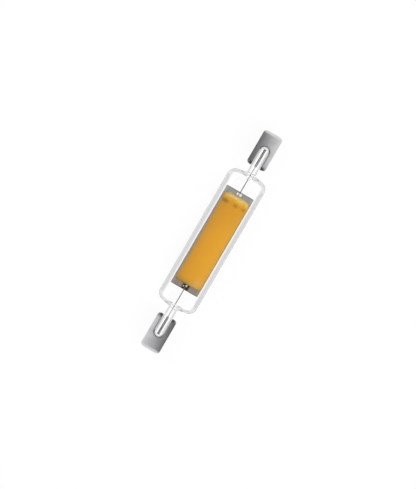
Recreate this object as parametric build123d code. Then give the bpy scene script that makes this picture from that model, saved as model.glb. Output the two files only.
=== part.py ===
from build123d import *
import os
from math import sqrt

# Double-ended linear LED lamp: a glass tube that holds a lit board, with a slotted metal cap on each end.
# X runs along the lamp towards the driver end, Z is the way the light leaves the board, and the origin
# is the middle of the lamp. All sizes are in millimetres.

overall_length = 78.0

# The most of a side's length that the roundings on it may take up, the most of a wall that the rounded
# rim of a slot may take up, and how near counts as touching
rounding_share = 0.9
rim_share = 0.6
touching = 0.01

# End caps: pressed metal cups, slotted from the mouth, with a recessed contact in the closed end
cap_length = 11.9
cap_diameter = 6.6
cap_wall = 0.45
cap_end_radius = 1.0
cap_lip_flat = 0.4
lip_clearance = 0.45
slot_clearance = 0.12
slot_edge_radius = 0.25
recess_rim = 0.35
recess_depth = 1.6
recess_edge_radius = 0.25
recess_floor_radius = 0.2

# Glass: tube, end walls drawn in to solid stems, and the boss that grips each lead
tube_diameter = 13.2
tube_wall = 1.1
shoulder_radius = 2.7
inner_shoulder_radius = 1.8
end_wall = 0.7
end_cone = 1.0
stem_diameter = 2.9
driver_bare_stem = 2.6
far_bare_stem = 3.1
stem_root_radius = 0.4
boss_flare = 1.3
boss_taper = 1.5
driver_boss_height = 1.5
far_boss_height = 1.0
boss_tip_radius = 2.1
boss_root_radius = 0.6

# Leads and the cement that holds each stem in its cap
lead_diameter = 0.3
seal_diameter = 0.55
outer_lead_length = 2.65
stem_grip = 0.9
cement_in_slot = 0.7

# Board, hung on the leads inside the tube
board_thickness = 1.0
board_wall_gap = 0.47
board_corner_radius = 0.15
driver_free_lead = 4.35
far_free_lead = 4.95

# Light source: dies under a phosphor coat, and a thicker bead over the drive parts
coat_side_margin = 0.3
coat_driver_margin = 1.85
coat_far_margin = 1.9
coat_corner_radius = 1.4
coat_edge_radius = 0.35
coat_over_dies = 0.5
bead_length = 2.6
bead_over_chips = 0.55
bead_edge_radius = 0.6
die_length = 0.76
die_width = 0.38
die_height = 0.2
die_pitch = 1.5
die_row_pitch = 1.8
die_margin = 1.0

# Drive parts under the bead
chip_height = 0.6
chip_draft = 6.0
chip_lead_in = 0.1
rectifier_length = 1.6
rectifier_width = 2.4
rectifier_edge_gap = 0.45
driver_chip_length = 1.5
driver_chip_width = 1.3
driver_chip_offset = 0.8
resistor_length = 1.0
resistor_width = 0.7
resistor_edge_gap = 0.6

# Solder joints
solder_film = 0.05
solder_edge_radius = 0.25
driver_solder_length = 1.0
driver_solder_width = 1.9
driver_solder_height = 0.33
driver_solder_corner = 0.4
driver_solder_inset = 0.35
far_solder_length = 1.7
far_solder_width = 2.4
far_solder_height = 0.5
far_solder_corner = 0.6
far_solder_inset = 0.1
lead_on_board = 1.0

# Radii
cap_radius = cap_diameter / 2
cap_bore_radius = cap_radius - cap_wall
recess_radius = cap_radius - cap_end_radius - recess_rim - recess_edge_radius
tube_radius = tube_diameter / 2
tube_bore_radius = tube_radius - tube_wall
stem_radius = stem_diameter / 2
lead_radius = lead_diameter / 2
seal_radius = seal_diameter / 2
lip_radius = stem_radius + lip_clearance
lip_rounding = cap_radius - lip_radius - cap_lip_flat
slot_radius = stem_radius + slot_clearance

# Places along the axis, from the driver end's contact inwards. The far end's are measured its own way.
cap_end = overall_length / 2
cap_mouth = cap_end - cap_length
recess_floor = cap_end - recess_depth
contact_back = recess_floor - cap_wall
stem_end = contact_back - outer_lead_length
cement_front = stem_end - stem_grip
slot_end = cement_front + cement_in_slot
driver_stem_root = cap_mouth - driver_bare_stem
driver_boss_tip = driver_stem_root - end_wall - driver_boss_height
far_stem_root = cap_mouth - far_bare_stem
far_boss_tip = far_stem_root - end_wall - far_boss_height

# The board's faces and ends: its top lies just under the leads, which run along the axis
board_top = -(lead_radius + solder_film)
board_bottom = board_top - board_thickness
board_width = 2 * (sqrt(tube_bore_radius**2 - board_bottom**2) - board_wall_gap)
board_driver_edge = driver_boss_tip - driver_free_lead
board_far_edge = far_free_lead - far_boss_tip

# The phosphor coat's outline on the board
coat_driver_edge = board_driver_edge - coat_driver_margin
coat_far_edge = board_far_edge + coat_far_margin
coat_width = board_width - 2 * coat_side_margin
coat_thickness = die_height + coat_over_dies
bead_thickness = chip_height + bead_over_chips
bead_inner_edge = coat_driver_edge - bead_length


def turned(corners):
    """A solid turned about X from a closed outline of (x, radius, corner rounding)."""
    outline = make_face(Polyline(*[(x, radius) for x, radius, _ in corners], close=True))
    for x, radius, rounding in corners:
        if rounding:
            corner = outline.vertices().sort_by_distance((x, radius))[0]
            outline = fillet(corner, rounding)
    return revolve(outline, Axis.X)


def rod(start, end, radius):
    """A round rod along the axis from start to end."""
    return turned([(start, 0, 0), (end, 0, 0), (end, radius, 0), (start, radius, 0)])


def pad(low, high, width, height, corner, edge):
    """A rounded pad on the board's top, from low to high along the axis, with its upper edge rounded over."""
    corner = min(corner, rounding_share * min(high - low, width) / 2)
    edge = min(edge, rounding_share * min(height, corner))
    outline = RectangleRounded(high - low, width, corner)
    body = Pos((low + high) / 2, 0, board_top) * extrude(outline, height)
    return fillet(body.edges().group_by(Axis.Z)[-1], edge)


def moulded_round(body, pieces):
    """A body with the room that the pieces inside it take up."""
    for piece in pieces:
        body -= piece
    return body


def glass_end(stem_root, boss_tip):
    """The corners of a glass end: its coned wall, the stem and its bores, the boss, and the tube's bore."""
    boss_radius = stem_radius + boss_flare
    cone = end_cone / (tube_radius - stem_radius)
    inner_face = stem_root - end_wall
    boss_to_tube = tube_bore_radius - boss_radius - boss_root_radius
    inner_rounding = min(inner_shoulder_radius, rounding_share * boss_to_tube)
    return [
        (stem_root - end_cone, tube_radius, shoulder_radius),
        (stem_root, stem_radius, stem_root_radius),
        (stem_end, stem_radius, 0),
        (stem_end, seal_radius, 0),
        (cap_mouth, seal_radius, 0),
        (cap_mouth, lead_radius, 0),
        (boss_tip, lead_radius, 0),
        (boss_tip, boss_radius - boss_taper, boss_tip_radius),
        (inner_face - cone * boss_flare, boss_radius, boss_root_radius),
        (inner_face - cone * (tube_bore_radius - stem_radius), tube_bore_radius, inner_rounding),
    ]


def glass_envelope():
    """The tube with both end walls, bosses and stems, bored for the leads and the seal pins."""
    driver_end = glass_end(driver_stem_root, driver_boss_tip)
    far_end = glass_end(far_stem_root, far_boss_tip)
    mirrored_end = [(-x, radius, rounding) for x, radius, rounding in reversed(far_end)]
    return turned(driver_end + mirrored_end)


def on_slot_rim(point):
    """Whether a point lies on the cap's outside, along the rim of its slot."""
    radius = sqrt(point.Y**2 + point.Z**2)
    return abs(radius - cap_radius) < touching and abs(point.Y) < slot_radius + touching


def end_cap():
    """The driver end's cap: a turned-in lip, a slot right through, and a recessed contact."""
    contact_radius = recess_radius + cap_wall
    inner_end_rounding = min(cap_end_radius - cap_wall, rounding_share * (cap_bore_radius - contact_radius))
    shell = turned([
        (cap_mouth, lip_radius, 0),
        (cap_mouth, cap_radius, lip_rounding),
        (cap_end, cap_radius, cap_end_radius),
        (cap_end, recess_radius, recess_edge_radius),
        (recess_floor, recess_radius, recess_floor_radius),
        (recess_floor, 0, 0),
        (contact_back, 0, 0),
        (contact_back, contact_radius, 0),
        (cap_end - cap_wall, contact_radius, 0),
        (cap_end - cap_wall, cap_bore_radius, inner_end_rounding),
        (cap_mouth + cap_wall, cap_bore_radius, max(lip_rounding - cap_wall, 0)),
        (cap_mouth + cap_wall, lip_radius, 0),
    ])
    slot_centre = slot_end - slot_radius
    straight_length = slot_centre - cap_mouth
    slot_outline = Pos(slot_centre) * Circle(slot_radius)
    slot_outline += Pos(slot_centre - straight_length / 2) * Rectangle(straight_length, 2 * slot_radius)
    slotted = shell - extrude(slot_outline, cap_diameter, both=True)
    slot_rim = [edge for edge in slotted.edges() if on_slot_rim(edge @ 0.5)]
    return fillet(slot_rim, min(slot_edge_radius, rim_share * cap_wall))


def cap_cement(held):
    """The cement plug in the driver end's cap, moulded round the pieces that it holds."""
    plug = turned([
        (cement_front, 0, 0),
        (contact_back, 0, 0),
        (contact_back, cap_bore_radius, 0),
        (cement_front, cap_bore_radius, 0),
    ])
    return moulded_round(plug, held)


def outer_lead():
    """The thin lead from the stem's end to the back of the driver end's contact."""
    return rod(stem_end, contact_back, lead_radius)


def seal_pin():
    """The thick section of the lead, sealed into the driver end's stem."""
    return rod(cap_mouth, stem_end, seal_radius)


def inner_lead(board_edge):
    """The thin lead from the board, through the boss, to the seal pin at the driver end."""
    return rod(board_edge - lead_on_board, cap_mouth, lead_radius)


def led_board():
    """The metal-cored board."""
    outline = RectangleRounded(board_driver_edge - board_far_edge, board_width, board_corner_radius)
    middle = (board_driver_edge + board_far_edge) / 2
    return Pos(middle, 0, board_bottom) * extrude(outline, board_thickness)


def led_dies():
    """Rows of dies on the board, one solid each, clear of the bead and of the coat's edges."""
    first = coat_far_edge + die_margin
    last = bead_inner_edge - die_margin
    columns = int((last - first) / die_pitch) + 1
    rows = int((coat_width - 2 * die_margin) / die_row_pitch) + 1
    places = GridLocations(die_pitch, die_row_pitch, columns, rows)
    outlines = Sketch() + places * Rectangle(die_length, die_width)
    return Pos((first + last) / 2, 0, board_top) * extrude(outlines, die_height)


def chip(length, width, y):
    """A moulded drive part on the board, just inside the bead."""
    x = bead_inner_edge - chip_lead_in + length / 2
    return Pos(x, y, board_top) * extrude(Rectangle(length, width), chip_height, taper=chip_draft)


def phosphor_coat(covered):
    """The silicone coat with its bead, moulded over the parts that it covers."""
    corner = coat_corner_radius
    coat = pad(coat_far_edge, coat_driver_edge, coat_width, coat_thickness, corner, coat_edge_radius)
    coat += pad(bead_inner_edge, coat_driver_edge, coat_width, bead_thickness, corner, bead_edge_radius)
    return moulded_round(coat, covered)


def solder(board_edge, inset, length, width, height, corner, lead):
    """A driver-end solder joint: a low mound on the board round the end of a lead."""
    outer = board_edge - inset
    return pad(outer - length, outer, width, height, corner, solder_edge_radius) - lead


coat_half_width = coat_width / 2
glass = glass_envelope()
driver_seal = seal_pin()
driver_outer_lead = outer_lead()
driver_lead = inner_lead(board_driver_edge)
far_lead = inner_lead(-board_far_edge)
dies = led_dies()
chips = {
    "bridge_rectifier": chip(
        rectifier_length, rectifier_width, coat_half_width - rectifier_edge_gap - rectifier_width / 2
    ),
    "driver_chip": chip(driver_chip_length, driver_chip_width, -driver_chip_offset),
    "sense_resistor": chip(
        resistor_length, resistor_width, resistor_edge_gap + resistor_width / 2 - coat_half_width
    ),
}

nodes = {
    "glass_envelope": glass,
    "led_board": led_board(),
    "led_dies": dies,
    **chips,
    "phosphor_coat": phosphor_coat([dies, *chips.values()]),
}

# Each end has the same pieces: the far end's are made as the driver end's and mirrored
driver_end_pieces = {
    "inner_lead": driver_lead,
    "seal_pin": driver_seal,
    "outer_lead": driver_outer_lead,
    "cap_cement": cap_cement([glass, driver_seal, driver_outer_lead]),
    "end_cap": end_cap(),
    "solder": solder(
        board_driver_edge, driver_solder_inset, driver_solder_length, driver_solder_width,
        driver_solder_height, driver_solder_corner, driver_lead,
    ),
}
far_end_pieces = {
    **driver_end_pieces,
    "inner_lead": far_lead,
    "solder": solder(
        -board_far_edge, far_solder_inset, far_solder_length, far_solder_width,
        far_solder_height, far_solder_corner, far_lead,
    ),
}
for name, piece in driver_end_pieces.items():
    nodes[f"{name}_driver_end"] = piece
for name, piece in far_end_pieces.items():
    nodes[f"{name}_far_end"] = mirror(piece, about=Plane.YZ)

os.makedirs("parts", exist_ok=True)
for name, piece in nodes.items():
    export_step(piece, f"parts/{name}.step")
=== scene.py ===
from math import cos, radians, sin

import bpy
import numpy as np
from mathutils import Matrix, Vector


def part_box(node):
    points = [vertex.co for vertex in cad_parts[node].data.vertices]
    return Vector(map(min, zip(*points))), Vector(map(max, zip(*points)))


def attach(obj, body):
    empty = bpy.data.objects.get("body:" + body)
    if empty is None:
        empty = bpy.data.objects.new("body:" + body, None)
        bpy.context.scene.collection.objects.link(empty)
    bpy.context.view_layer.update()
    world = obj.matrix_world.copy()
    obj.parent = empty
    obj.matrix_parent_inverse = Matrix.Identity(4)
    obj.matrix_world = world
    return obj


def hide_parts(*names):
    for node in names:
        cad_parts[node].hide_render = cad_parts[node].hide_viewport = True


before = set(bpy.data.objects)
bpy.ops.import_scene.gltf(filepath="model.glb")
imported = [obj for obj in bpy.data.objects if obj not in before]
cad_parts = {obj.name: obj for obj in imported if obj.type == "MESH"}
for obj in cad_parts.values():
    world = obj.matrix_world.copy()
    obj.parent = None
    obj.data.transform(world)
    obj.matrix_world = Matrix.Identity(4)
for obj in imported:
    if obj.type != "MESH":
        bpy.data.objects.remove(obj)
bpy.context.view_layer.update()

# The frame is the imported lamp: X runs along it to the driver end, Z is the way the light leaves the board.
# Lengths below are written in millimetres times MM, places that the frame knows are read from its nodes.
MM = 0.001

glass_low, glass_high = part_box("glass_envelope")
cap_low, cap_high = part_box("end_cap_driver_end")
board_low, board_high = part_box("led_board")
coat_low, coat_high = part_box("phosphor_coat")
tinned_low, tinned_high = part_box("solder_driver_end")
tube_radius = glass_high.z
stem_end = glass_high.x
cap_mouth = cap_low.x
board_top = board_high.z

# What the frame's boxes don't show: the glass walls, its drawn-in ends, the boss round each lead, the caps' slot
TUBE_WALL = 1.1 * MM
SHOULDER_RADIUS = 2.7 * MM
INNER_SHOULDER_RADIUS = 1.8 * MM
END_WALL = 0.7 * MM
END_CONE = 1.0 * MM
STEM_RADIUS = 1.45 * MM
STEM_TIP_ROUNDING = 0.15 * MM
DRIVER_BARE_STEM = 2.6 * MM
FAR_BARE_STEM = 3.1 * MM
STEM_ROOT_RADIUS = 0.4 * MM
BOSS_FLARE = 1.3 * MM
BOSS_TAPER = 1.5 * MM
DRIVER_BOSS_HEIGHT = 1.5 * MM
FAR_BOSS_HEIGHT = 1.0 * MM
BOSS_TIP_ROUNDING = 2.1 * MM
BOSS_ROOT_ROUNDING = 0.6 * MM
SLOT_RADIUS = 1.57 * MM
SLOT_CENTRE = 32.53 * MM
GLASS_SEGMENTS = 192
ARC_POINTS = 10
stem_root = cap_mouth - DRIVER_BARE_STEM
boss_tip = stem_root - END_WALL - DRIVER_BOSS_HEIGHT

# Phosphor layer: its outline and height, where its painted light is brightest along the board, its pale patch, and
# its dim spots, which are partly painted shade
COAT_CORNER = 1.4 * MM
COAT_EDGE = 0.4 * MM
COAT_THICKNESS = 0.7 * MM
COAT_CROWN = 0.1
BEAD_START = 12.9 * MM
BEAD_RISE = 1.0 * MM
BEAD_EDGE = 1.2 * MM
PAINTED_LIGHT_PEAK = -3.0 * MM
PALE_PATCH = np.array([(-13.6, -2.6, 3.0, 2.0)]) * MM
DIM_REACH = 1.15 * MM
DIM_FRINGE = 0.75 * MM

# Solder joints: round dots as (x, y, reach along x, reach along y). The base and each dot's rise are shares of the
# joint's height, and a dot's bell is a share of its reach.
# The dots are also where the solders' colours hold their painted highlights.
DRIVER_DOTS = np.array([(17.1, 0.55, 0.56, 0.4), (17.18, -0.5, 0.7, 0.7)]) * MM
FAR_DOTS = np.array([(-16.35, 0.7, 0.34, 0.34), (-15.95, -0.15, 0.46, 0.46)]) * MM
JOINT_BASE = 0.45
DOT_RISE = 0.55
DOT_BELL = 0.65
JOINT_SQUARENESS = 8

# Studio: how far from the axis the grey cards start, how they fade, what two glass walls hold back, the floor, and
# the curved cards round the caps with their levels along each cap, at the light side and what the dark side loses
TUBE_CARD = 6.8 * MM
STEM_CARD = 1.5 * MM
CARD_FADE = 2.6 * MM
CARD_LEVELS = np.array([[1, 0.9, 0.73, 0.73]])
CARD_REACH = 60 * MM
RIM_LEVEL = 0.05
STEM_RIM_REACH = 8 * MM
GLASS_LOSS = 0.14
FLOOR_LEVEL = 1.015
FLOOR_REACH = 3.0
AMBIENT_LEVEL = 0.65
LIGHT_BOUNCES = 32
TENT_RADIUS = 14 * MM
TENT_SKIRT = 1.0 * MM
TENT_LEVELS = np.array([[0.95, 0.95, 1.0, 1.1]])
TENT_LOSSES = np.array([[0.46, 0.43, 0.42, 0.42]])
LIP_LEVEL = 0.1
CLOSING_TURN = 1.45

# Photograph: how the lamp lies in it, and its scale
PHOTO_HEIGHT = 489
PHOTO_SCALE = 3.188 / MM
LAMP_LEAN = radians(30.23)
LAMP_RIGHT = 3.7
LAMP_UP = 2.74


class Link:
    """An output of a shader node. Sums with links and numbers add the Math nodes that work them out."""

    def __init__(self, shader, socket):
        self.shader = shader
        self.socket = socket

    def math(self, operation, first, second):
        node = self.shader.node("ShaderNodeMath", {"operation": operation}, {0: first, 1: second})
        return node["Value"]

    def __add__(self, other):
        return self.math("ADD", self, other)

    def __radd__(self, other):
        return self.math("ADD", other, self)

    def __sub__(self, other):
        return self.math("SUBTRACT", self, other)

    def __rsub__(self, other):
        return self.math("SUBTRACT", other, self)

    def __mul__(self, other):
        return self.math("MULTIPLY", self, other)

    def __rmul__(self, other):
        return self.math("MULTIPLY", other, self)

    def __truediv__(self, other):
        return self.math("DIVIDE", self, other)

    def __pow__(self, other):
        return self.math("POWER", self, other)

    def __abs__(self):
        return self.math("ABSOLUTE", self, 0)

    def most(self, other):
        return self.math("MAXIMUM", self, other)

    def least(self, other):
        return self.math("MINIMUM", self, other)

    def ease(self, start, end):
        """0 up to start, 1 from end on, and a smooth step between."""
        ranges = {"From Min": start, "From Max": end}
        settings = {"interpolation_type": "SMOOTHSTEP"}
        return self.shader.node("ShaderNodeMapRange", settings, {"Value": self, **ranges})["Result"]


class Shader:
    """A node tree that is filled by expressions."""

    def __init__(self, owner):
        owner.use_nodes = True
        self.owner = owner
        self.tree = owner.node_tree
        self.tree.nodes.clear()

    def node(self, kind, settings=None, inputs=None):
        """Adds a node of a kind, sets its settings, then its inputs to values or links, and gives its outputs."""
        node = self.tree.nodes.new(kind)
        for name, value in (settings or {}).items():
            setattr(node, name, value)
        for name, value in (inputs or {}).items():
            if isinstance(value, Link):
                self.tree.links.new(value.socket, node.inputs[name])
            else:
                node.inputs[name].default_value = value
        return {socket.name: Link(self, socket) for socket in node.outputs if socket.enabled}

    def place(self):
        """The object's own coordinates, in metres: x, y and z."""
        coordinates = self.node("ShaderNodeTexCoord")["Object"]
        split = self.node("ShaderNodeSeparateXYZ", None, {"Vector": coordinates})
        return split["X"], split["Y"], split["Z"]

    def noise(self, scale, detail=3.0, stretch=(1, 1, 1), roughness=0.55):
        """Noise on the object's coordinates, scale features to the metre, stretched along the axes."""
        coordinates = self.node("ShaderNodeTexCoord")["Object"]
        mapped = self.node("ShaderNodeMapping", None, {"Vector": coordinates, "Scale": stretch})["Vector"]
        inputs = {"Vector": mapped, "Scale": scale, "Detail": detail, "Roughness": roughness}
        return self.node("ShaderNodeTexNoise", None, inputs)["Fac"]

    def mix(self, share, first, second):
        """A colour that goes from the first to the second as share goes from 0 to 1."""
        node = self.node("ShaderNodeMix", {"data_type": "RGBA"}, {0: share, 6: first, 7: second})
        return node["Result"]

    def bump(self, height, distance):
        """A normal from a height of 0 to 1 that stands for a distance."""
        return self.node("ShaderNodeBump", None, {"Height": height, "Distance": distance})["Normal"]

    def principled(self, **inputs):
        """The surface shader. An input's spaces are written as underscores."""
        named = {name.replace("_", " "): value for name, value in inputs.items()}
        return self.node("ShaderNodeBsdfPrincipled", None, named)["BSDF"]

    def mixed(self, share, first, second):
        """A shader that goes from the first to the second as share goes from 0 to 1."""
        return self.node("ShaderNodeMixShader", None, {0: share, 1: first, 2: second})["Shader"]

    def finish(self, surface):
        """Links the surface to the output and gives the material or world."""
        kind = "ShaderNodeOutputWorld" if isinstance(self.owner, bpy.types.World) else "ShaderNodeOutputMaterial"
        self.node(kind, None, {"Surface": surface})
        return self.owner


def colour(code):
    """A colour code such as DB9A30, as the linear red, green and blue that a shader takes."""
    parts = np.array([int(code[place:place + 2], 16) for place in (0, 2, 4)]) / 255
    linear = np.where(parts <= 0.04045, parts / 12.92, ((parts + 0.055) / 1.055) ** 2.4)
    return (*linear.tolist(), 1.0)


def shader(name):
    """A new material's node tree."""
    return Shader(bpy.data.materials.new(name))


def clear_glass():
    """Drawn glass: clear, with the faintest waviness, open to the light that reaches what is inside."""
    made = shader("clear_glass")
    wave = made.noise(90, detail=1.0, stretch=(0.25, 1, 1))
    glass = made.principled(
        Base_Color=(1, 1, 1, 1), Roughness=0.0, IOR=1.47, Transmission_Weight=1.0,
        Normal=made.bump(wave, 0.01 * MM),
    )
    open_to_light = made.node("ShaderNodeBsdfTransparent", None, {"Color": (1, 1, 1, 1)})["BSDF"]
    path = made.node("ShaderNodeLightPath")
    lit_through = made.mixed(path["Is Shadow Ray"], glass, open_to_light)
    return made.finish(made.mixed(path["Is Diffuse Ray"], lit_through, open_to_light))


def cap_nickel():
    """Pressed and satin-plated cap: fine turned rings, a cloudy sheen, and painted shade on the lips and round the
    slot.
    """
    made = shader("cap_nickel")
    x, y, _ = made.place()
    rings = made.noise(1500, detail=2.0, stretch=(2.2, 0.08, 0.08))
    cloud = made.noise(350, detail=2.0)
    # Painted shade: near the mouth the lips are darkened in the colour, and made a little rougher.
    lip = 1 - abs(x).ease(cap_mouth + 0.2 * MM, cap_mouth + 1.9 * MM)
    past_centre = (abs(x) - SLOT_CENTRE).most(0)
    from_slot = (past_centre**2 + y**2) ** 0.5 - SLOT_RADIUS
    # Painted shade: a band round the slot is darkened in the colour.
    rim = 1 - from_slot.ease(0, 0.8 * MM)
    plain = made.mix(cloud.ease(0.3, 0.7), colour("CACACC"), colour("D6D6D8"))
    return made.finish(made.principled(
        Base_Color=made.mix((lip * 0.6).most(rim * 0.4), plain, colour("5A5A5C")), Metallic=1.0,
        Roughness=0.3 + rings * 0.1 + lip * 0.1, Normal=made.bump(rings, 0.004 * MM),
    ))


def lead_nickel():
    """Drawn nickel wire with die lines along it, brighter where its driver end is tinned, and with painted light
    inside the glass stem that makes it brighter there."""
    made = shader("lead_nickel")
    x, _, _ = made.place()
    lines = made.noise(2500, detail=2.0, stretch=(0.05, 1, 1))
    # Painted light: inside the glass stem the wire's colour is made brighter and less metallic.
    painted_light_in_stem = abs(x).ease(boss_tip - 0.1 * MM, boss_tip + 1.1 * MM)
    tinned = x.ease(0, tinned_low.x) * (1 - x.ease(tinned_high.x - 0.1 * MM, tinned_high.x + 0.3 * MM))
    drawn = made.mix(lines, colour("74746F"), colour("8C8C88"))
    bright = painted_light_in_stem.most(tinned * 0.6)
    return made.finish(made.principled(
        Base_Color=made.mix(bright, drawn, colour("DADAD8")), Metallic=0.5 - bright * 0.3,
        Roughness=0.3 + lines * 0.15, Normal=made.bump(lines, 0.004 * MM),
    ))


def seal_alloy():
    """The sealed pin: oxidised alloy, dull and grey, mottled along its length."""
    made = shader("seal_alloy")
    oxide = made.noise(1800, detail=3.0, stretch=(0.3, 1, 1))
    return made.finish(made.principled(
        Base_Color=made.mix(oxide, colour("B0B3B3"), colour("C6C9C9")), Metallic=0.3,
        Roughness=0.38 + oxide * 0.15, Normal=made.bump(oxide, 0.006 * MM),
    ))


def white_cement():
    """Fired white cement with a sandy grain."""
    made = shader("white_cement")
    grain = made.noise(4000, detail=4.0)
    return made.finish(made.principled(
        Base_Color=made.mix(grain, colour("F0EFEC"), colour("FAFAF8")),
        Roughness=0.8 + grain * 0.15, Normal=made.bump(grain, 0.03 * MM),
    ))


def board_metal():
    """Rolled board metal: lines along the board, stains, painted shade darkening its border, silicone crept along its
    sides and past the bead, and flux between the bead and the joint."""
    made = shader("board_metal")
    x, y, _ = made.place()
    rolled = made.noise(1600, detail=3.0, stretch=(0.06, 1, 1))
    stain = made.noise(260, detail=3.0)
    middle = (board_low.x + board_high.x) / 2
    to_end = (board_high.x - board_low.x) / 2 - abs(x - middle)
    to_side = board_high.y - abs(y)
    # Painted shade: the board's border is darkened in the colour, where its edge falls into shade.
    border = 1 - to_end.least(to_side).ease(0.05 * MM, 0.4 * MM)
    past_bead = x - coat_high.x
    beside_coat = (x - coat_low.x).ease(-0.15 * MM, 0.65 * MM) * (1 - past_bead.ease(-0.7 * MM, 0.1 * MM))
    crept = (1 - to_side.ease(0.2 * MM, 0.4 * MM)) * beside_coat
    past_straight = abs(y) - (coat_high.y - COAT_CORNER)
    straight_front = 1 - past_straight.ease(-0.4 * MM, 0.4 * MM)
    skirt = past_bead.ease(-0.3 * MM, -0.1 * MM) * (1 - past_bead.ease(0.15 * MM, 0.35 * MM)) * straight_front
    flux = past_bead.ease(-0.1 * MM, 0.1 * MM) * (1 - past_bead.ease(0.4 * MM, 0.8 * MM))
    fluxed = flux * (1 - abs(y).ease(1.3 * MM, 1.9 * MM))
    driver_half = x.ease(board_low.x, board_high.x)
    worn = made.mix(driver_half, colour("94877F"), colour("9E9A94"))
    bright = made.mix(driver_half, colour("A89B93"), colour("B2AEA8"))
    face = made.mix(rolled * 0.6 + stain * 0.4, worn, bright)
    with_painted_edge_shade = made.mix(border * 0.75, face, colour("5E5A55"))
    with_sides = made.mix(crept * 0.85, with_painted_edge_shade, colour("A67C34"))
    with_flux = made.mix(fluxed * 0.8, with_sides, colour("A89660"))
    return made.finish(made.principled(
        Base_Color=made.mix(skirt * 0.9, with_flux, colour("E6C678")), Metallic=0.2,
        Roughness=0.42 + stain * 0.15, Normal=made.bump(rolled, 0.006 * MM),
    ))


def spots(made, places, softness):
    """1 in the middle of the nearest of some places, each (x, y, reach along x, reach along y), falling to 0 at its
    reach. Softness is the share of the reach that the fall takes."""
    x, y, _ = made.place()
    most = None
    for place_x, place_y, reach_x, reach_y in np.array(places).tolist():
        away = (((x - place_x) / reach_x) ** 2 + ((y - place_y) / reach_y) ** 2) ** 0.5
        spot = 1 - away.ease(1 - softness, 1)
        most = spot if most is None else most.most(spot)
    return most


def dimmed_by(node):
    """The place of the dim spot over a drive part, partly the dark part showing through the layer and partly painted
    shade where the bead starts: at its inner side, a little wider.
    """
    low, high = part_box(node)
    return low.x, (low.y + high.y) / 2, DIM_REACH, (high.y - low.y) / 2 + DIM_FRINGE


def phosphor_silicone():
    """Phosphor in silicone: orange-yellow, olive where it is thin, pale and lumpy on the bead, with dim spots over
    the drive parts. Painted light: lighter towards -Y, brightest at one place along the board, darker on the +Y side,
    and a painted highlight on the bead's outer rim; the dim spots are partly painted shade."""
    made = shader("phosphor_silicone")
    x, y, _ = made.place()
    past_bead = x - coat_high.x
    mottle = made.noise(420, detail=4.0)
    lumps = made.noise(900, detail=2.0, stretch=(0.8, 1, 1))
    grain = made.noise(5000, detail=2.0)
    stray = (mottle - 0.5) * (1.6 * MM)
    # Painted light: the layer's colour is lighter towards -Y, as if lit from that side; mottle adds random tone.
    painted_lit_side = 1 - y.ease(-4.2 * MM, 4.2 * MM)
    even = made.mix(painted_lit_side * 0.7 + mottle * 0.3, colour("DE9A23"), colour("EEAC2D"))
    # Painted light: the colour is brightest at one place along the board and darkens towards the ends.
    from_painted_light_peak = abs(x - PAINTED_LIGHT_PEAK).ease(3 * MM, 16 * MM)
    body = made.mix(from_painted_light_peak * 0.25, even, colour("C08628"))
    bead = (past_bead + stray).ease(-2.3 * MM, -0.7 * MM)
    # Painted highlight: a pale rim along the bead's outer edge.
    rim = (past_bead + stray * 0.5).ease(-1.2 * MM, -0.3 * MM)
    bead_tone = made.mix(lumps.ease(0.35, 0.65), colour("E8B43A"), colour("F6CC58"))
    with_bead = made.mix(bead, body, bead_tone)
    with_painted_highlight = made.mix(rim * (0.4 + lumps * 0.6), with_bead, colour("F0D898"))
    # Painted shade: the +Y side of the layer and bead is darkened in the colour.
    with_painted_shade = made.mix(y.ease(1.2 * MM, 4.6 * MM) * 0.65, with_painted_highlight, colour("C69238"))
    past_side = abs(y + stray * 0.5) - coat_high.y
    sides = past_side.ease(-1.1 * MM, 0.1 * MM)
    # The thin edges are olive; their darker +Y side is painted shade.
    thin = made.mix(y.ease(0, 4 * MM), colour("B8923E"), colour("967632"))
    with_sides = made.mix(sides * (1 - bead * 0.3) * 0.8, with_painted_shade, thin)
    far_edge = 1 - (x + stray).ease(coat_low.x, coat_low.x + 2 * MM)
    # The thin far end is olive-tan; its darker +Y side is painted shade.
    far_tone = made.mix(y.ease(-2 * MM, 2 * MM), colour("B89C5C"), colour("9B8236"))
    with_edges = made.mix(far_edge * 0.8, with_sides, far_tone)
    # Dim spots: partly the dark drive parts showing through, partly painted shade where the bead starts.
    over_rectifier = spots(made, [dimmed_by("bridge_rectifier")], 1.0)
    over_chips = spots(made, [dimmed_by("driver_chip"), dimmed_by("sense_resistor")], 1.0)
    patched = made.mix(spots(made, PALE_PATCH, 1.0) * 0.45, with_edges, colour("E6B668"))
    return made.finish(made.principled(
        Base_Color=made.mix((over_rectifier * 0.8).most(over_chips * 0.5), patched, colour("946E16")),
        Roughness=0.42 + grain * 0.12, Specular_IOR_Level=0.2,
        Normal=made.bump(mottle * 0.5 + grain * 0.2 + lumps * bead * 0.3, 0.05 * MM),
    ))


def solder_tin():
    """Dull tin with a frosted skin, and painted highlights in white on its two domes."""
    made = shader("solder_tin")
    frost = made.noise(3500, detail=3.0)
    # Painted highlights: the two domes are painted white.
    bright = spots(made, DRIVER_DOTS, 0.4)
    dull = made.mix(frost, colour("B0ADA4"), colour("C4C1B8"))
    return made.finish(made.principled(
        Base_Color=made.mix(bright, dull, colour("FDFDFC")), Metallic=0.2,
        Roughness=0.25 + frost * 0.16, Normal=made.bump(frost, 0.01 * MM),
    ))


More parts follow.
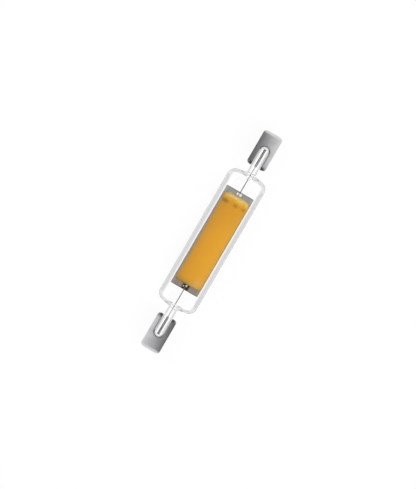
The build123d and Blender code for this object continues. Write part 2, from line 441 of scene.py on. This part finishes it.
def tin_painted_dark():
    """Tin painted dark brown for the dark that it mirrors, with two cream painted highlights."""
    made = shader("tin_painted_dark")
    blotch = made.noise(1500, detail=4.0)
    # Painted reflection and highlights: the tin is painted dark brown for the dark it mirrors, and cream at two dots.
    bare = spots(made, FAR_DOTS, 0.6)
    flux = made.mix(blotch, colour("221A13"), colour("4A3B2A"))
    return made.finish(made.principled(
        Base_Color=made.mix(bare, flux, colour("E6DAC0")), Metallic=0.1,
        Roughness=0.35 + blotch * 0.2, Normal=made.bump(blotch, 0.03 * MM),
    ))


def chip_epoxy():
    """Black moulding epoxy with a sparkle of filler."""
    made = shader("chip_epoxy")
    filler = made.noise(6000, detail=3.0)
    return made.finish(made.principled(
        Base_Color=made.mix(filler, colour("1C1C1D"), colour("303031")),
        Roughness=0.5 + filler * 0.25, Normal=made.bump(filler, 0.01 * MM),
    ))


def die_crystal():
    """Die surface: glossy dark blue-violet with a cloudy sheen."""
    made = shader("die_crystal")
    sheen = made.noise(1500, detail=2.0)
    return made.finish(made.principled(
        Base_Color=made.mix(sheen, colour("3C3F66"), colour("6A6E92")),
        Roughness=0.15 + sheen * 0.15, Coat_Weight=0.5,
    ))


def new_piece(name, points, faces, finish, smooth=True):
    """A mesh object at the origin with one finish."""
    mesh = bpy.data.meshes.new(name)
    mesh.from_pydata(points.tolist(), [], faces)
    mesh.polygons.foreach_set("use_smooth", np.full(len(mesh.polygons), smooth))
    mesh.materials.append(finish)
    mesh.update()
    piece = bpy.data.objects.new(name, mesh)
    bpy.context.scene.collection.objects.link(piece)
    return piece


def rounded_outline(corners):
    """An outline through corners of (x, radius, rounding): each rounded corner becomes the arc that touches both
    of its sides, centred on the corner's bisector, with its points at even angles."""
    places = np.array([(x, radius) for x, radius, _ in corners])
    outline = []
    for number, (_, _, rounding) in enumerate(corners):
        corner = places[number]
        if not rounding:
            outline.append(corner[None])
            continue
        back = places[number - 1] - corner
        ahead = places[number + 1] - corner
        back /= np.linalg.norm(back)
        ahead /= np.linalg.norm(ahead)
        half = np.arccos(np.clip(back @ ahead, -1, 1)) / 2
        bisector = (back + ahead) / np.linalg.norm(back + ahead)
        centre = corner + bisector * rounding / np.sin(half)
        across = back - (back @ bisector) * bisector
        across /= np.linalg.norm(across)
        turn = np.linspace(1, -1, ARC_POINTS)[:, None] * (np.pi / 2 - half)
        outline.append(centre + rounding * (np.sin(turn) * across - np.cos(turn) * bisector))
    return np.concatenate(outline)


def turned(outline, first_point):
    """Points and faces of an outline of (x, radius), from axis to axis, carried round X: at each angle a point
    stands at (x, radius cos, radius sin). The two ends on the axis are single points."""
    angle = np.linspace(0, 2 * np.pi, GLASS_SEGMENTS, endpoint=False)
    rings = outline[1:-1]
    x = np.repeat(rings[:, :1], GLASS_SEGMENTS, 1)
    y = rings[:, 1:] * np.cos(angle)
    z = rings[:, 1:] * np.sin(angle)
    ends = np.array([[outline[0, 0], 0, 0], [outline[-1, 0], 0, 0]])
    points = np.concatenate([np.stack([x, y, z], -1).reshape(-1, 3), ends])
    number = np.arange(rings.shape[0] * GLASS_SEGMENTS).reshape(-1, GLASS_SEGMENTS) + first_point
    beside = np.roll(number, -1, 1)
    quads = np.stack([number[:-1], number[1:], beside[1:], beside[:-1]], -1).reshape(-1, 4)
    start, end = number.size + first_point, number.size + first_point + 1
    start_fan = np.stack([np.full(GLASS_SEGMENTS, start), number[0], beside[0]], -1)
    end_fan = np.stack([number[-1], np.full(GLASS_SEGMENTS, end), beside[-1]], -1)
    return points, quads.tolist() + start_fan.tolist() + end_fan.tolist()


def glass_end(bare_stem, boss_height):
    """The corners of a glass end as (x, radius, rounding), from the axis to the tube: its outside and its hollow."""
    stem_root = cap_mouth - bare_stem
    inner_face = stem_root - END_WALL
    cone = END_CONE / (tube_radius - STEM_RADIUS)
    bore_radius = tube_radius - TUBE_WALL
    boss_radius = STEM_RADIUS + BOSS_FLARE
    outside = [
        (stem_end, 0, 0),
        (stem_end, STEM_RADIUS, STEM_TIP_ROUNDING),
        (stem_root, STEM_RADIUS, STEM_ROOT_RADIUS),
        (stem_root - END_CONE, tube_radius, SHOULDER_RADIUS),
    ]
    hollow = [
        (inner_face - boss_height, 0, 0),
        (inner_face - boss_height, boss_radius - BOSS_TAPER, BOSS_TIP_ROUNDING),
        (inner_face - cone * BOSS_FLARE, boss_radius, BOSS_ROOT_ROUNDING),
        (inner_face - cone * (bore_radius - STEM_RADIUS), bore_radius, INNER_SHOULDER_RADIUS),
    ]
    return outside, hollow


def glass_tube():
    """The glass in one piece: its outside and its hollow are outlines turned about the lamp's axis, each made of
    the driver end's corners and, mirrored, the far end's. Leads and pins pass into the glass with no gap."""
    points = np.zeros((0, 3))
    faces = []
    driver_end = glass_end(DRIVER_BARE_STEM, DRIVER_BOSS_HEIGHT)
    far_end = glass_end(FAR_BARE_STEM, FAR_BOSS_HEIGHT)
    for driver_corners, far_corners, inward in zip(driver_end, far_end, (False, True)):
        mirrored = [(-x, radius, rounding) for x, radius, rounding in reversed(far_corners)]
        outline = rounded_outline(driver_corners + mirrored)
        if inward:
            outline = outline[::-1]
        more_points, more_faces = turned(outline, len(points))
        points = np.concatenate([points, more_points])
        faces += more_faces
    return new_piece("glass_tube", points, faces, clear_glass())


def ease(value, start, end):
    """0 up to start, 1 from end on, and a smooth step between."""
    share = np.clip((value - start) / (end - start), 0, 1)
    return share * share * (3 - 2 * share)


def phosphor_layer():
    """The silicone layer: over a grid of places on the board, its height is the layer's thickness, crowned across
    the board and raised in a lumpy bead at the driver end, times a quarter-round fall to its outline. A flat grid
    with the same border closes it underneath."""
    columns, rows = 300, 80
    half_length = (coat_high.x - coat_low.x) / 2
    half_width = coat_high.y
    middle = (coat_high.x + coat_low.x) / 2
    along = np.sin(np.linspace(-np.pi / 2, np.pi / 2, columns))[:, None] * half_length
    into_corner = np.clip(abs(along) - (half_length - COAT_CORNER), 0, COAT_CORNER)
    reach = half_width - COAT_CORNER + np.sqrt(COAT_CORNER**2 - into_corner**2)
    y = np.sin(np.linspace(-np.pi / 2, np.pi / 2, rows))[None] * reach
    x = middle + along + 0 * y
    past = np.stack([abs(along) - half_length + COAT_CORNER + 0 * y, abs(y) - half_width + COAT_CORNER])
    inside = COAT_CORNER - np.hypot(*np.maximum(past, 0)) - np.minimum(past.max(0), 0)
    bead = ease(x + 0.25 * MM * np.sin(y / (0.9 * MM)), BEAD_START, BEAD_START + BEAD_RISE)
    reach_in = COAT_EDGE + (BEAD_EDGE - COAT_EDGE) * bead
    fall = np.sqrt(1 - (1 - np.clip(inside / reach_in, 0, 1)) ** 2)
    lumps = 0.5 + 0.25 * np.sin(y / (0.62 * MM) + 0.8) + 0.25 * np.sin(y / (0.37 * MM) + x / (0.9 * MM))
    crown = 1 - COAT_CROWN * (y / half_width) ** 2
    extra = (coat_high.z - board_top - COAT_THICKNESS) * (0.7 + 0.3 * lumps) * bead
    height = (COAT_THICKNESS * crown + extra) * fall
    inner = np.pad(np.ones((columns - 2, rows - 2), bool), 1)
    top = np.stack([x, y, board_top + np.where(inner, height, 0)], -1).reshape(-1, 3)
    under = np.stack([x, y, np.full_like(x, board_top)], -1)[inner]
    number = np.arange(columns * rows).reshape(columns, rows)
    under_number = number.copy()
    under_number[inner] = columns * rows + np.arange(inner.sum())

    def quads(grid):
        return np.stack([grid[:-1, :-1], grid[1:, :-1], grid[1:, 1:], grid[:-1, 1:]], -1).reshape(-1, 4)

    faces = quads(number).tolist() + quads(under_number)[:, ::-1].tolist()
    return new_piece("phosphor_layer", np.concatenate([top, under]), faces, phosphor_silicone())


def solder_mound(name, node, dots, finish):
    """A solder joint: over a rounded outline as large as its solid, a low dome, with a bell over each dot. The flat
    underside is a fan."""
    low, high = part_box(node)
    rings, spokes = 40, 120
    middle = (low + high) / 2
    half = (high - low) / 2
    share = np.sin(np.linspace(0, np.pi / 2, rings))[1:, None]
    turn = np.linspace(0, 2 * np.pi, spokes, endpoint=False)[None]
    sides = abs(np.cos(turn)) ** JOINT_SQUARENESS + abs(np.sin(turn)) ** JOINT_SQUARENESS
    squareness = sides ** (-1 / JOINT_SQUARENESS)
    wobble = 1 - 0.02 * (1 + np.sin(3 * turn + 0.6))
    x = middle.x + share * squareness * wobble * np.cos(turn) * half.x
    y = middle.y + share * squareness * wobble * np.sin(turn) * half.y

    def level(x, y, share):
        bells = sum(
            np.exp(-(((x - dot_x) / reach_x) ** 2 + ((y - dot_y) / reach_y) ** 2) / DOT_BELL**2)
            for dot_x, dot_y, reach_x, reach_y in dots
        )
        return low.z + np.minimum((JOINT_BASE + DOT_RISE * bells) * np.sqrt(1 - share**4), 1) * (high.z - low.z)

    ends = np.array([[middle.x, middle.y, level(middle.x, middle.y, 0)], [middle.x, middle.y, low.z]])
    points = np.concatenate([np.stack([x, y, level(x, y, share)], -1).reshape(-1, 3), ends])
    number = np.arange(x.size).reshape(x.shape)
    beside = np.roll(number, -1, 1)
    quads = np.stack([number[:-1], number[1:], beside[1:], beside[:-1]], -1).reshape(-1, 4)
    top_fan = np.stack([np.full(spokes, x.size), number[0], beside[0]], -1)
    under_fan = np.stack([number[-1], np.full(spokes, x.size + 1), beside[-1]], -1)
    return new_piece(name, points, quads.tolist() + top_fan.tolist() + under_fan.tolist(), finish)


def stand_for(node, piece):
    """Puts a piece on the lamp's one body in place of a CAD node, which it hides."""
    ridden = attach(piece, "root")
    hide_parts(node)


def add_pieces():
    """The pieces that stand for CAD nodes, and the finishes of the nodes that stay."""
    stand_for("glass_envelope", glass_tube())
    stand_for("phosphor_coat", phosphor_layer())
    for end, dots, finish in (("driver_end", DRIVER_DOTS, solder_tin()), ("far_end", FAR_DOTS, tin_painted_dark())):
        node = f"solder_{end}"
        stand_for(node, solder_mound(f"solder_joint_{end}", node, dots, finish))
    nickel = lead_nickel()
    epoxy = chip_epoxy()
    finishes = {
        "end_cap": cap_nickel(),
        "inner_lead": nickel,
        "outer_lead": nickel,
        "seal_pin": seal_alloy(),
        "cap_cement": white_cement(),
        "led_board": board_metal(),
        "led_dies": die_crystal(),
        "bridge_rectifier": epoxy,
        "driver_chip": epoxy,
        "sense_resistor": epoxy,
    }
    for name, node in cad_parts.items():
        for kind, finish in finishes.items():
            if name.startswith(kind):
                node.material_slots[0].material = finish


def seen(made):
    """1 for the rays that show a background: the camera's, and those that metal and glass send on."""
    path = made.node("ShaderNodeLightPath")
    return path["Is Camera Ray"].most(path["Is Glossy Ray"]).most(path["Is Transmission Ray"])


def white_emission(made, strength):
    """A surface that gives white light of its own."""
    return made.node("ShaderNodeEmission", None, {"Color": (1, 1, 1, 1), "Strength": strength})["Emission"]


def floor():
    """A white floor that keeps a faint shadow: mostly its own white where it is seen, the rest lit. Under the tube it
    is brighter through the glass, by what the glass holds back."""
    made = shader("white_floor")
    lit = made.node("ShaderNodeBsdfDiffuse", None, {"Color": (0.9, 0.9, 0.9, 1)})["BSDF"]
    through_glass = made.node("ShaderNodeLightPath")["Is Transmission Ray"]
    _, y, _ = made.place()
    under_tube = 1 - (abs(y) - tube_radius).ease(-0.4 * MM, 1.0 * MM)
    white = white_emission(made, FLOOR_LEVEL + through_glass * under_tube * GLASS_LOSS)
    finish = made.finish(made.mixed(seen(made) * 0.9, lit, white))
    corners = np.array([(-1, -1, 0), (1, -1, 0), (1, 1, 0), (-1, 1, 0)]) * FLOOR_REACH + (0, 0, glass_low.z)
    new_piece("floor", corners, [(0, 1, 2, 3)], finish, smooth=False)


def studio_card(name, points, levels, ray):
    """A card seen only by one kind of ray: a grid of points, with a level of light at each."""
    made = shader(name)
    level = made.node("ShaderNodeAttribute", {"attribute_name": "level"})["Fac"]
    finish = made.finish(white_emission(made, level))
    points = np.stack(np.broadcast_arrays(*points), -1)
    number = np.arange(points[..., 0].size).reshape(points.shape[:2])
    quads = np.stack([number[:-1, :-1], number[1:, :-1], number[1:, 1:], number[:-1, 1:]], -1).reshape(-1, 4)
    card = new_piece(name, points.reshape(-1, 3), quads.tolist(), finish)
    values = np.broadcast_to(levels, number.shape).astype(np.float32).ravel()
    card.data.attributes.new("level", "FLOAT", "POINT").data.foreach_set("value", values)
    for kind in ("camera", "diffuse", "glossy", "transmission", "volume_scatter", "shadow"):
        setattr(card, f"visible_{kind}", kind == ray)


def edge_cards():
    """Cards on the floor along both sides of the glass, which its edges show, as in bright-field light: at each place
    along the lamp a card fades from white to grey, starting a little beside the glass. Dark ones beside the tube and
    the bare stems are only mirrored."""
    level = glass_low.z + 0.05 * MM
    x = np.linspace(-CARD_REACH, CARD_REACH, 241)[:, None]
    beside = STEM_CARD + (TUBE_CARD - STEM_CARD) * (1 - ease(abs(x), stem_root - 2 * MM, stem_root))
    outermost = np.full_like(x, CARD_REACH)
    fading = np.concatenate([beside, beside + 0.4 * CARD_FADE, beside + CARD_FADE, outermost], 1)
    tube_half = stem_root - 2.5 * MM
    stem_low, stem_high = stem_root + 0.5 * MM, cap_mouth - 0.9 * MM
    rims = (
        ("tube", -tube_half, tube_half, TUBE_CARD, CARD_REACH),
        ("driver_stem", stem_low, stem_high, STEM_CARD, STEM_RIM_REACH),
        ("far_stem", -stem_high, -stem_low, STEM_CARD, STEM_RIM_REACH),
    )
    for side, way in (("left", 1), ("right", -1)):
        studio_card(f"edge_card_{side}", (x, fading * way, level), CARD_LEVELS, "transmission")
        for place, low, high, near, far in rims:
            points = (np.array([[low], [high]]), np.array([[near, far]]) * way, level)
            studio_card(f"{place}_rim_card_{side}", points, RIM_LEVEL, "glossy")


def mouth_rings():
    """A white ring round each stem, seen only through the glass, keeps the cap's dark mouth out of the tube's end."""
    turn = np.linspace(0, 2 * np.pi, 91)[:, None]
    ring = np.array([[STEM_RADIUS + 0.1 * MM, cap_high.z + 0.3 * MM]])
    for name, end in (("driver", 1), ("far", -1)):
        points = ((cap_mouth - 0.3 * MM) * end, ring * np.sin(turn), ring * np.cos(turn))
        studio_card(f"mouth_card_{name}", points, 1.0, "transmission")


def cap_tents():
    """Round each cap, a curved card that goes from dark to light round the lamp's axis: at an angle from the top, it
    loses a share of one minus the sine of half that angle, the more so near the cap's mouth. It runs on over the
    floor. Half rings close it: a dark one above the stem, for the lips to show, a white one below the stem, which
    keeps it out of the tube's end wall, and a white one at the cap's end."""
    lowest = np.arccos(glass_low.z / TENT_RADIUS)
    angle = np.linspace(-lowest, lowest, 93)
    across = np.concatenate([[-TENT_SKIRT], TENT_RADIUS * np.sin(angle), [TENT_SKIRT]])[:, None]
    upwards = np.concatenate([[glass_low.z], TENT_RADIUS * np.cos(angle), [glass_low.z]])[:, None] + 0.1 * MM
    darkening = 1 - np.sin(np.concatenate([[-np.pi], angle, [np.pi]]) / 2)[:, None]
    tent = np.array([[cap_mouth - 0.4 * MM, cap_mouth + 2.5 * MM, cap_high.x - 1 * MM, cap_high.x + 3 * MM]])
    bright = TENT_LEVELS - TENT_LOSSES * darkening
    half_turn = np.linspace(-CLOSING_TURN, CLOSING_TURN, 60)[:, None]
    ring = np.array([[STEM_RADIUS + 0.25 * MM, TENT_RADIUS]])
    walls = (
        ("lip", cap_mouth - 0.8 * MM, 1, LIP_LEVEL),
        ("screen", cap_mouth - 0.9 * MM, -1, 1.0),
        ("end", tent[0, -1], 1, 1.0),
    )
    for name, end, light_side in (("driver", 1, -1), ("far", -1, 1)):
        studio_card(f"cap_card_{name}", (tent * end, across * light_side, upwards), bright, "glossy")
        for wall, wall_x, up, level in walls:
            half_ring = (wall_x * end, ring * np.sin(half_turn), ring * np.cos(half_turn) * up)
            studio_card(f"{wall}_card_{name}", half_ring, level, "glossy")


def world_light():
    """Soft light from all round. Where it is seen it is white, and dim overhead, where the camera stands."""
    made = Shader(bpy.data.worlds.new("studio"))
    direction = made.node("ShaderNodeTexCoord")["Generated"]
    upwards = made.node("ShaderNodeSeparateXYZ", None, {"Vector": direction})["Z"]
    mirrored = made.node("ShaderNodeLightPath")["Is Glossy Ray"]
    shown = 1 - mirrored * upwards.ease(0.0, 0.2) * 0.9
    is_seen = seen(made)
    level = AMBIENT_LEVEL * (1 - is_seen) + shown * is_seen
    back = made.node("ShaderNodeBackground", None, {"Color": (1, 1, 1, 1), "Strength": level})["Background"]
    bpy.context.scene.world = made.finish(back)


def lamp(name, place, size, level):
    """A square softbox that faces the lamp's middle. Its power gives the level on a surface that faces it."""
    light = bpy.data.lights.new(name, "AREA")
    light.size = size
    place = Vector(place)
    light.energy = level * np.pi**2 * place.length**2
    box = bpy.data.objects.new(name, light)
    box.matrix_world = Matrix.Translation(place) @ place.to_track_quat("Z", "Y").to_matrix().to_4x4()
    bpy.context.scene.collection.objects.link(box)
    box.visible_glossy = False
    box.visible_transmission = False


def camera():
    """A long lens straight above the lamp, so that the lamp lies in the frame as it does in the photograph."""
    right = Vector((sin(LAMP_LEAN), -cos(LAMP_LEAN), 0))
    up = Vector((cos(LAMP_LEAN), sin(LAMP_LEAN), 0))
    data = bpy.data.cameras.new("camera")
    data.lens = 200
    data.sensor_width = 36
    distance = PHOTO_HEIGHT / PHOTO_SCALE * data.lens / data.sensor_width
    place = -(right * LAMP_RIGHT + up * LAMP_UP) / PHOTO_SCALE + Vector((0, 0, distance))
    data.clip_start = 0.01
    data.clip_end = 20
    eye = bpy.data.objects.new("camera", data)
    turn = Matrix((right, up, Vector((0, 0, 1)))).transposed().to_4x4()
    eye.matrix_world = Matrix.Translation(place) @ turn
    bpy.context.scene.collection.objects.link(eye)
    bpy.context.scene.camera = eye


def light_paths():
    """Lets light pass to and fro in the glass walls, which otherwise end up dark."""
    for kind in ("max", "glossy", "transmission", "transparent_max"):
        setattr(bpy.context.scene.cycles, f"{kind}_bounces", LIGHT_BOUNCES)


bpy.context.scene.view_settings.view_transform = "Standard"
light_paths()
add_pieces()
floor()
edge_cards()
mouth_rings()
cap_tents()
world_light()
lamp("key", place=(-0.2, -0.5, 0.8), size=0.6, level=0.35)
lamp("fill", place=(0.4, 0.5, 0.7), size=0.8, level=0.15)
camera()
